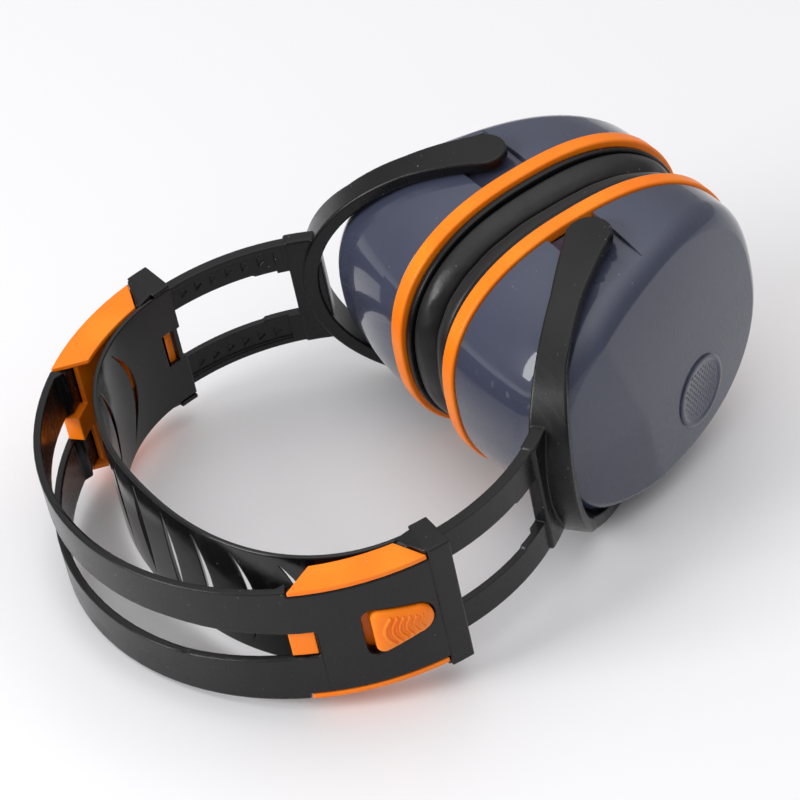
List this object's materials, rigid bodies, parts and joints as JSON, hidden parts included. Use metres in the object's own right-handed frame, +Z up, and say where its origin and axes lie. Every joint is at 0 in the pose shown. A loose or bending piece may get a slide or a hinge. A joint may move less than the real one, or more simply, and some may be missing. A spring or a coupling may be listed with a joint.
{
  "type": "earmuff hearing protector",
  "caption": "Earmuff hearing protector: slotted outer headband, vented inner strap, locking extension sleeves, notched yokes and glossy oval ear cups with soft cushions.",
  "frame": {"origin": "under the middle of the bounding box, on the surface that the earmuff lies on", "axes": "+Z up from the surface; +Y from the headband's crown towards the ear cups; +X towards the right-hand cup"},
  "size_m": [0.146, 0.2026, 0.0825],
  "materials": {
    "black_plastic": "satin black",
    "black_strap": "glossy black",
    "orange_plastic": "satin orange",
    "slate_gloss": "high gloss slate grey",
    "black_cushion": "smooth soft black cover",
    "grey_foam": "open foam"
  },
  "bodies": {
    "headband": {"outer_band": "black_plastic", "inner_strap": "black_strap", "right_slide_guide": "orange_plastic", "left_slide_guide": "orange_plastic"},
    "right_slider": {"right_yoke": "black_plastic"},
    "right_lock": {"right_lock_button": "orange_plastic"},
    "right_cup": {"right_cup_shell": "slate_gloss", "right_rim_ring": "orange_plastic", "right_cushion_plate": "black_plastic", "right_ear_cushion": "black_cushion", "right_cushion_foam": "grey_foam", "right_liner_foam": "grey_foam"},
    "left_slider": {"left_yoke": "black_plastic"},
    "left_lock": {"left_lock_button": "orange_plastic"},
    "left_cup": {"left_cup_shell": "slate_gloss", "left_rim_ring": "orange_plastic", "left_cushion_plate": "black_plastic", "left_ear_cushion": "black_cushion", "left_cushion_foam": "grey_foam", "left_liner_foam": "grey_foam"}
  },
  "joints": [
    {"name": "right_extension", "type": "hinge", "parent": "headband", "child": "right_slider", "pos_m": [0, -0.02728, 0.02995], "axis": [0, 0.1434, -0.9897], "range_deg": [0, 20]},
    {"name": "right_lock_slide", "type": "hinge", "parent": "headband", "child": "right_lock", "pos_m": [0, -0.02728, 0.02995], "axis": [0, 0.1434, -0.9897], "range_deg": [0, 1.4], "stiffness_Nm_per_rad": 2, "springref_deg": -1.15},
    {"name": "right_cup_tilt", "type": "hinge", "parent": "right_slider", "child": "right_cup", "pos_m": [0.0238, 0.05144, 0.04136], "axis": [0, 0.1434, -0.9897], "range_deg": [-7, 7], "deforming": ["right_ear_cushion", "right_cushion_foam"]},
    {"name": "left_extension", "type": "hinge", "parent": "headband", "child": "left_slider", "pos_m": [0, -0.02728, 0.02995], "axis": [0, -0.1434, 0.9897], "range_deg": [0, 20]},
    {"name": "left_lock_slide", "type": "hinge", "parent": "headband", "child": "left_lock", "pos_m": [0, -0.02728, 0.02995], "axis": [0, -0.1434, 0.9897], "range_deg": [0, 1.4], "stiffness_Nm_per_rad": 2, "springref_deg": -1.15},
    {"name": "left_cup_tilt", "type": "hinge", "parent": "left_slider", "child": "left_cup", "pos_m": [-0.0238, 0.05144, 0.04136], "axis": [0, -0.1434, 0.9897], "range_deg": [-7, 7], "deforming": ["left_ear_cushion", "left_cushion_foam"]}
  ]
}
